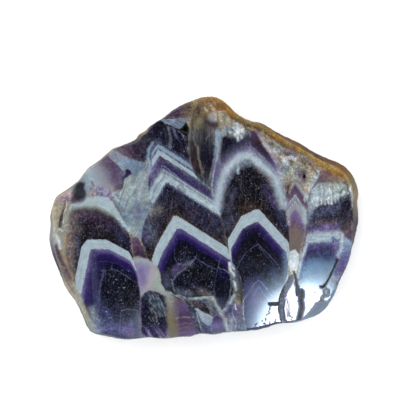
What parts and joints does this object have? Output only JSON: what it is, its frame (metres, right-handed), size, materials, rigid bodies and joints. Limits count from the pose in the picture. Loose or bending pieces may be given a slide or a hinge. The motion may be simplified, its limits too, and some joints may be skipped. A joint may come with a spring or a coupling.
{
  "type": "chevron amethyst slab",
  "caption": "Flat polished slice of banded amethyst with nested white chevrons, open vugs, a sawn back and a rough ochre rind.",
  "frame": {"origin": "on the flat sawn back, under the middle of the slab's outline", "axes": "+Z out of the polished face, +X along the long side, +Y towards the peak of the outline and the tips of the chevrons"},
  "size_m": [0.1561, 0.1229, 0.018],
  "materials": {
    "amethyst": "polished"
  },
  "bodies": {
    "root": {"amethyst_slab": "amethyst"}
  },
  "joints": []
}
